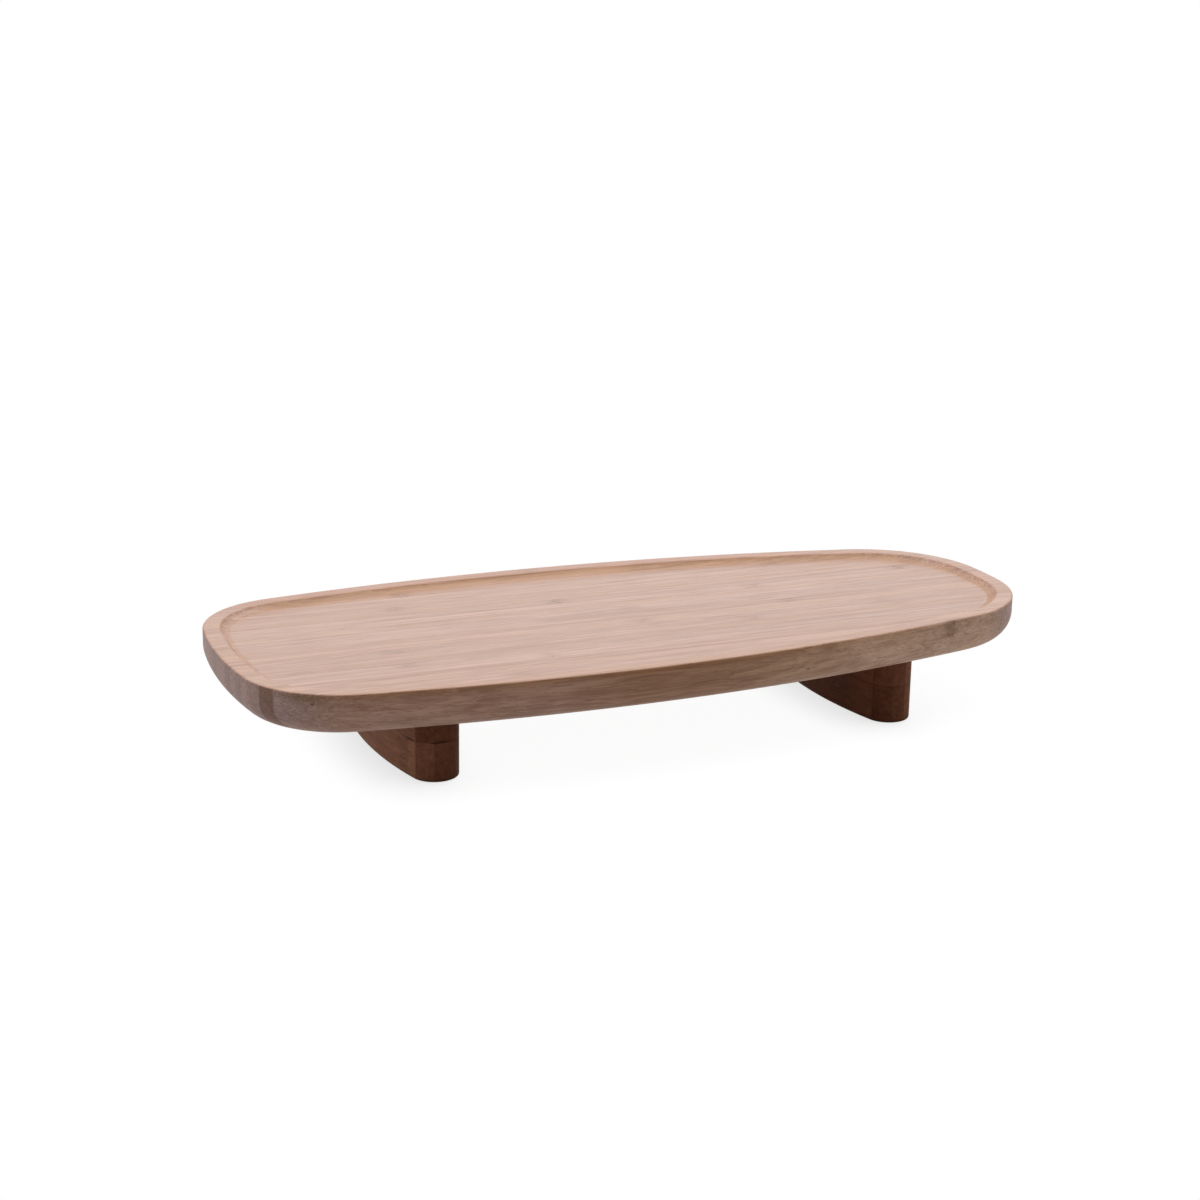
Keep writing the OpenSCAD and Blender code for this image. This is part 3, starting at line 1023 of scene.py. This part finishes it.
def darkLines(tree, x, y, z, glue):
    # the glue between strips, the seam between the two layers and the gaps in it
    fromSeam = calc(tree, "ABSOLUTE", minus(tree, z, foot["lowerLayer"]))
    outer, full = dark["seamReach"]
    seam = ramp(tree, calc(tree, "DIVIDE", fromSeam, outer), 1.0, full / outer)
    gaps = 0.0
    for oval in dark["gaps"]:
        gap = humpAt(tree, x, z, *oval)
        gaps = calc(tree, "MULTIPLY_ADD", gap, ramp(tree, y, *dark["gapSpan"]), gaps)
    lines = calc(tree, "MAXIMUM", times(tree, glue, dark["glueShare"]),
                 times(tree, seam, dark["seamShare"]))
    return calc(tree, "ADD", lines, gaps, clamp=True)


def darkBamboo():
    mat, tree, shader = newMaterial("darkBamboo")
    place, normal = surfacePlace(tree)
    x, y, z = split(tree, place)
    normalX, normalY, normalZ = split(tree, normal)
    cut = ramp(tree, calc(tree, "ABSOLUTE", normalY), *dark["cutFacing"])
    told = readLath(tree)
    first, seed, tone = told["lath"]
    along = join(tree, y, x, z)  # the fibres of the feet lie along Y
    grains = useGroup(tree, grain, Place=along, Seed=seed, Wave=dark["wave"])
    body = mixedGrain(tree, grains, dark["fibres"])
    body = weigh(tree, dark["deepShare"], (body, dark["contrast"]), (tone, dark["toneShare"]))
    colour = blendColour(tree, clamped(tree, body), dark["warm"], dark["deep"])
    # the palest strips: partly less stain, partly painted light from the side lamps
    colour = tinted(tree, told["endTone"][0], colour, dark["wornAndLit"])
    dots = times(tree, grains["Bundle"], weigh(tree, dark["dots"], (cut, dark["cutDots"])))
    colour = blendColour(tree, dots, colour, dark["bundle"])
    rings = ringFigure(tree, x, y, z, normalX, grains)
    colour = blendColour(tree, rings, colour, dark["bundle"])
    inStrip = minus(tree, x, first)
    made = useGroup(tree, knuckle, Place=along, Across=minus(tree, inStrip, stripWidth / 2),
                    Along=told["knuckleAt"][0], Seed=seed, Reach=dark["knuckleReach"])
    mark = weigh(tree, 0.0, (made["Smudge"], dark["smudgeShare"]), (made["Line"], dark["lineShare"]))
    mark = times(tree, mark, told["knuckleStrength"][0])
    colour = blendColour(tree, mark, colour, dark["knuckle"])
    glue = useGroup(tree, glueLine, Place=along, Across=inStrip, Width=stripWidth,
                    Reach=dark["glueReach"], Front=told["glue"][0], Back=told["glue"][1])["Line"]
    colour = blendColour(tree, darkLines(tree, x, y, z, glue), colour, dark["glue"])
    # painted contact shade along the bottom edge of the upright faces
    bottomShade = times(tree, ramp(tree, z, *dark["shadedBottomHeights"]),
                     ramp(tree, normalZ, *dark["shadedBottomFacing"]))
    colour = tinted(tree, bottomShade, colour, dark["bottom"])
    roughness = weigh(tree, dark["roughness"] - dark["roughnessVaries"] / 2,
                      (grains["Fine"], dark["roughnessVaries"]), (cut, dark["cutRoughness"]))
    height = weigh(tree, 0.0, *grainTerms(grains, dark["relief"]))
    finishSurface(tree, shader, colour, roughness, height, dark["bump"])
    feed(tree, shader.inputs["IOR"], dark["ior"])
    return mat


# Zinc-plated steel of the screws
steel = {
    "bright": (0.62, 0.61, 0.58, 1),
    "dull": (0.40, 0.39, 0.37, 1),
    "blotchCell": 1.4,
    "blotchDetail": 3,
    "blotchRough": 0.6,
    "blotches": (0.35, 0.7),
    "gritCell": 0.15,
    "roughness": 0.22,  # where no blotch or grit adds to it
    "blotchRoughness": 0.18,
    "gritRoughness": 0.1,
    "bump": {"strength": 0.25, "depth": 0.02},
}


def zincSteel():
    mat, tree, shader = newMaterial("zincSteel")
    place = surfacePlace(tree)[0]
    blotch = noise(tree, stretch(tree, place, (steel["blotchCell"],) * 3), steel["blotchDetail"],
                   steel["blotchRough"])
    grit = noise(tree, stretch(tree, place, (steel["gritCell"],) * 3))
    colour = blendColour(tree, ramp(tree, blotch, *steel["blotches"]), steel["bright"], steel["dull"])
    roughness = weigh(tree, steel["roughness"], (blotch, steel["blotchRoughness"]),
                      (grit, steel["gritRoughness"]))
    finishSurface(tree, shader, colour, roughness, grit, steel["bump"])
    feed(tree, shader.inputs["Metallic"], 1.0)
    return mat


bamboo, darkWood, zinc = naturalBamboo(), darkBamboo(), zincSteel()


def coat(piece, material):
    piece.data.materials.clear()
    piece.data.materials.append(material)


# Marks of each stave, counted from the front: where its knuckles lie along X and how strong they are
staveKnuckles = {
    1: ((64, 0.4), (-205, 0)), 2: ((-61, 0.5), (-172, 0.4)), 3: ((-79, 0.5), (139, 0.5)),
    4: ((36, 0.2), (-150, 0.2)), 5: ((120, 0.2), (-96, 0.2)), 6: ((-58, 0.55), (152, 0.2)),
    7: ((-123, 0.6), (98, 0.2)), 8: ((24, 0.2), (-170, 0.2)), 9: ((55, 0.6), (-150, 0.2)),
    10: ((-124, 0.6), (130, 0.2)), 11: ((3, 0.6), (-176, 0.2)), 12: ((85, 0.6), (-100, 0.2)),
    13: ((-36, 0.2), (160, 0.2)), 14: ((5, 0.6), (-158, 0.3)), 15: ((128, 0.2), (-84, 0.2)),
    16: ((80, 0.7), (-132, 0.3)), 17: ((-24, 1.0), (167, 0.9)), 18: ((180, 0.6), (-66, 0.2)),
    19: ((-102, 0.6), (60, 0.2)), 20: ((22, 0.2), (-150, 0.2)), 21: ((108, 0.6), (-48, 0.2)),
    22: ((-92, 0.9), (142, 0.2)), 23: ((40, 0.4), (-130, 0.2)), 24: ((-20, 0.6), (88, 0.4)),
}
staveTones = {3: 0.1, 4: -0.4, 5: 0.5, 6: -0.6, 8: 0.7, 10: 0.5, 11: -0.5, 13: 0.6, 16: -0.6,
              17: 0.4, 22: 0.6}
# End grain of each stave: how dark and how grey
staveEnds = {2: (0.25, 0.2), 3: (0.25, 0.5), 4: (0.1, 0.9), 5: (1.0, 0.0), 6: (0.25, 0.4),
             7: (0.0, 0.1), 8: (0.15, 0.9), 9: (0.05, 0.5), 10: (0.2, 0.9), 11: (0.1, 0.4),
             13: (0.2, 0.6), 16: (0.1, 0.7)}
plainEnd = (0.1, 0.5)
# Glue lines that show, by the stave in front of them, and how dark the others are
darkJoints = {4: 0.9, 6: 0.7, 7: 0.8, 9: 0.8, 10: 0.7, 13: 0.8, 15: 0.9, 16: 0.8}
faintJoint = 0.3
staveSeedStep = 3.7
sharedGrain = 3  # the grain of this many laths at either side runs on over their joints
yellowTurn, yellowCount = 5, 7  # the yellow has seven steps, and goes five on from stave to stave
for i, piece in enumerate(staves, 1):
    (atA, strongA), (atB, strongB) = staveKnuckles[i]
    mesh = piece.data
    seed = min(max(i, sharedGrain), len(staves) + 1 - sharedGrain) * staveSeedStep
    yellow = i * yellowTurn % yellowCount / (yellowCount - 1)
    tell(mesh, "lath", ((i - 1) * staveWidth - board["width"] / 2, seed, staveTones.get(i, 0)))
    tell(mesh, "knuckleAt", (atA, atB, 0))
    tell(mesh, "knuckleStrength", (strongA, strongB, 0))
    tell(mesh, "glue", (darkJoints.get(i - 1, faintJoint) if i > 1 else 0,
                        darkJoints.get(i, faintJoint) if i < len(staves) else 0, 0))
    tell(mesh, "endTone", (*staveEnds.get(i, plainEnd), yellow))
    coat(piece, bamboo)

# Strips of the broad and of the narrow foot: tones of five lower ones, then of five upper ones, partly
# painted light from the side lamps
stripTones = ((-0.3, -0.4, 0.1, 0.4, 0.8, 0.0, 0.5, 0.9, 0.7, 1.1),
              (-0.3, 0.8, 0.7, 0.2, 0.2, -0.5, 0.3, 0.3, 0.1, 0.1))
# and how pale they are: partly how little stain they took, partly painted light on the broad foot's
# left face and the narrow foot's right side
stripWearAndLight = ((0.9, 0.24, 0.06, 0.06, 0.0, 0.75, 0.06, 0.05, 0.05, 0.0),
             (0.03, 0.0, 0.08, 0.3, 0.2, 0.05, 0.06, 0.1, 0.3, 0.2))
stripMarks = {
    "firstSeed": 90,
    "seedStep": 2.3,
    "knuckleStep": 37,  # the knuckles are spread over a span, this far on from strip to strip
    "knuckleSpan": 90,
    "knuckleStrength": 0.7,
    "glueStrength": 0.8,
}
for k, piece in enumerate(strips):
    i, row = k % foot["stripCount"], k % (2 * foot["stripCount"])
    mesh = piece.data
    whichFoot = k // (2 * foot["stripCount"])
    firstEdge = footPlaces[whichFoot] + i * stripWidth - foot["width"] / 2
    span, glued = stripMarks["knuckleSpan"], stripMarks["glueStrength"]
    knuckleAt = k * stripMarks["knuckleStep"] % span - span / 2
    tell(mesh, "lath", (firstEdge, stripMarks["firstSeed"] + k * stripMarks["seedStep"],
                        stripTones[whichFoot][row]))
    tell(mesh, "knuckleAt", (knuckleAt, 0, 0))
    tell(mesh, "knuckleStrength", (stripMarks["knuckleStrength"], 0, 0))
    tell(mesh, "glue", (glued if i else 0, glued if i < foot["stripCount"] - 1 else 0, 0))
    # its paleness, partly painted light, goes in the first end tone
    tell(mesh, "endTone", (stripWearAndLight[whichFoot][row], 0, 0))
    coat(piece, darkWood)
coat(screws, zinc)
print("materials made")

# Studio: a pale floor that keeps a faint shadow, a white world and three soft lamps
studio = {
    "worldLevel": 0.18,
    "floorRadius": 2.5,
    "floorSides": 96,
    "floorBounce": 0.42,
    "floorGlow": 0.955,  # what the camera sees of the floor: this, and the light on a grey of floorGrey
    "floorGrey": 0.095,
    "contact": 0.28,  # painted contact shadow: darkening of the floor close to what stands on it
    "contactReach": 0.030,  # metres, just short of the board's underside
    "contactLean": (0.55, 0.35, 0.76),  # it lies to the left and in front of what stands there
    "contactSamples": 6,
    "shadowCentre": (0.008, -0.030, 0.0),  # metres
    "shadowSize": (0.195, 0.210, 1.0),  # half sizes of the oval past which the floor is plain white
    "shadowFade": (0.6, 1.0),  # shares of the oval between which it turns plain
    # lamp: place, point that it faces, width, height and light
    "overhead": ((0.0, 0.30, 1.8), (0, 0, 0.05), 2.4, 2.4, 35.0),
    "leftBox": ((-1.8, -0.1, 0.55), (0, 0, 0.05), 1.2, 0.9, 3.2),
    "rightBox": ((1.7, -0.6, 0.5), (0, 0, 0.05), 1.0, 0.8, 2.5),
}
white = (1, 1, 1, 1)


def seenRay(tree):
    # 1 for rays that show the background: from the camera, off gloss and through glass
    path = put(tree, "LightPath").outputs
    return calc(tree, "MAXIMUM", path["Is Camera Ray"],
                calc(tree, "MAXIMUM", path["Is Glossy Ray"], path["Is Transmission Ray"]))


def studioWorld():
    world = bpy.data.worlds.new("studio")
    world.use_nodes = True
    tree = world.node_tree
    feed(tree, tree.nodes["Background"].inputs["Color"], white)
    feed(tree, tree.nodes["Background"].inputs["Strength"],
         ramp(tree, seenRay(tree), 0.0, 1.0, studio["worldLevel"], 1.0))
    bpy.context.scene.world = world


def floorMaterial():
    mat, tree, shader = newMaterial("paleFloor")
    tree.nodes.remove(shader)
    place = put(tree, "TexCoord").outputs["Object"]
    place = vectorCalc(tree, "SUBTRACT", place, studio["shadowCentre"])
    far = lengthOf(tree, stretch(tree, place, studio["shadowSize"]))
    plain = ramp(tree, far, *studio["shadowFade"])
    # painted contact shadow, from occlusion leaned to the left and front
    openness = put(tree, "AmbientOcclusion", white, studio["contactReach"],
                   join(tree, *studio["contactLean"]), samples=studio["contactSamples"]).outputs["AO"]
    near = ramp(tree, openness, 0.0, 1.0, 1.0 - studio["contact"], 1.0)
    glow = times(tree, ramp(tree, plain, 0.0, 1.0, studio["floorGlow"], 1.0), near)
    glow = put(tree, "Emission", white, glow).outputs[0]
    grey = times(tree, ramp(tree, plain, 0.0, 1.0, studio["floorGrey"], 0.0), near)
    faint = put(tree, "BsdfDiffuse", join(tree, grey, grey, grey)).outputs[0]
    shown = put(tree, "AddShader", glow, faint).outputs[0]
    bounce = put(tree, "BsdfDiffuse", (studio["floorBounce"],) * 3 + (1,)).outputs[0]
    upper = put(tree, "MixShader", seenRay(tree), bounce, shown).outputs[0]
    below = put(tree, "NewGeometry").outputs["Backfacing"]
    clear = put(tree, "BsdfTransparent").outputs[0]
    whole = put(tree, "MixShader", below, upper, clear).outputs[0]
    feed(tree, tree.nodes["Material Output"].inputs["Surface"], whole)
    return mat


def layFloor():
    # disc on the table plane: a ring of points round the origin
    count = studio["floorSides"]
    angle = np.linspace(0, 2 * math.pi, count, endpoint=False)
    ring = np.column_stack([np.cos(angle), np.sin(angle), np.zeros(count)]) * studio["floorRadius"]
    mesh = bpy.data.meshes.new("floor")
    mesh.from_pydata(ring.tolist(), [], [list(range(count))])
    mesh.materials.append(floorMaterial())
    floor = bpy.data.objects.new("floor", mesh)
    bpy.context.scene.collection.objects.link(floor)


def hangLamp(name):
    place, target, width, height, light = studio[name]
    data = bpy.data.lights.new(name, "AREA")
    data.shape, data.size, data.size_y, data.energy = "RECTANGLE", width, height, light
    lamp = bpy.data.objects.new(name, data)
    lamp.location = place
    lamp.rotation_euler = (Vector(target) - Vector(place)).to_track_quat("-Z", "Y").to_euler()
    bpy.context.scene.collection.objects.link(lamp)


studioWorld()
layFloor()
for name in ("overhead", "leftBox", "rightBox"):
    hangLamp(name)
print("studio set")

# The photograph's view: a 68 mm lens, a little over a metre away
cameraView = {
    "azimuth": -22.958,
    "elevation": 16.282,
    "roll": 0.935,
    "lens": 67.977,
    "sensor": 36,
    "distance": 1.09225,
    "aim": (-0.00945, 0.01137, 0.05372),
}

# Its back, right and up directions, turned by the roll
azimuth, elevation, roll = (math.radians(cameraView[key]) for key in ("azimuth", "elevation", "roll"))
back = Vector((math.sin(azimuth) * math.cos(elevation),
               -math.cos(azimuth) * math.cos(elevation), math.sin(elevation)))
right = Vector((0, 0, 1)).cross(back).normalized()
up = back.cross(right)
turnedRight = right * math.cos(roll) + up * math.sin(roll)
turnedUp = up * math.cos(roll) - right * math.sin(roll)
camera = bpy.data.objects.new("camera", bpy.data.cameras.new("camera"))
camera.data.lens = cameraView["lens"]
camera.data.sensor_width = cameraView["sensor"]
spot = Vector(cameraView["aim"]) + back * cameraView["distance"]
facing = Matrix((turnedRight, turnedUp, back)).transposed()
camera.matrix_world = Matrix.Translation(spot) @ facing.to_4x4()
bpy.context.scene.collection.objects.link(camera)
bpy.context.scene.camera = camera
bpy.context.scene.view_settings.view_transform = "Standard"
print("camera placed")
